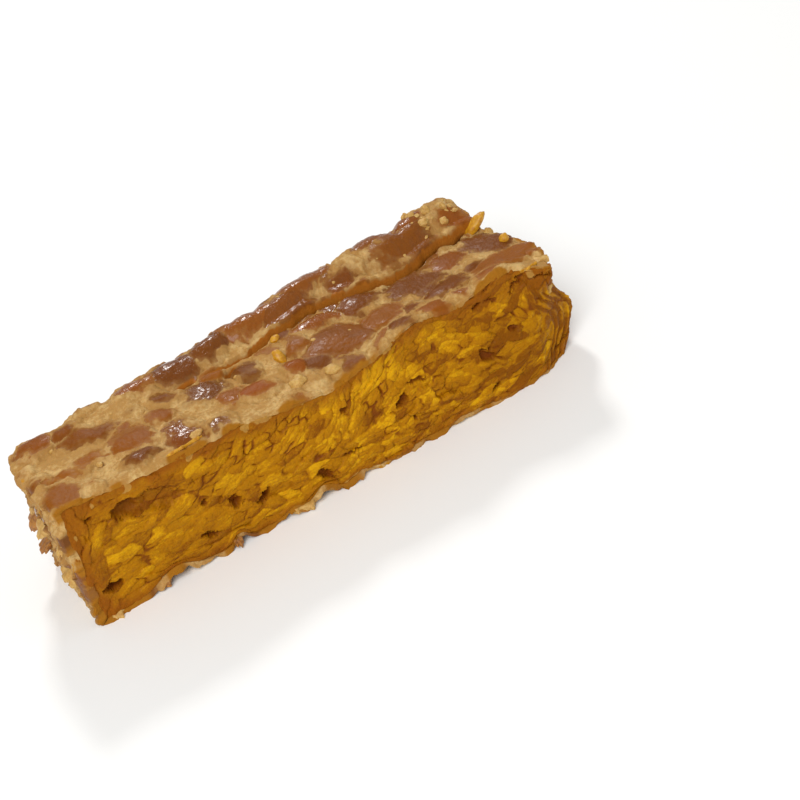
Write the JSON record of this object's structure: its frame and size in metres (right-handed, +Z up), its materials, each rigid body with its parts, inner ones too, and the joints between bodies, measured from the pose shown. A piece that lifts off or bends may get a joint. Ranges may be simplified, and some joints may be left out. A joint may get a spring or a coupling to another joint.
{
  "type": "tempeh cake",
  "caption": "Thick finger cut from a pressed soya-bean cake, with mould skin on top and a cut face that shows the packed beans.",
  "frame": {"origin": "bottom centre of the slab's box, on the face it lies on", "axes": "+X along the length towards the wide cut end, +Y from the cut front to the skinned back, +Z up through the top skin"},
  "size_m": [0.1498, 0.0514, 0.0377],
  "materials": {
    "tempeh": "moist cooked soya, satin with glossy spots"
  },
  "bodies": {
    "root": {"tempeh_slab": "tempeh"}
  },
  "joints": []
}
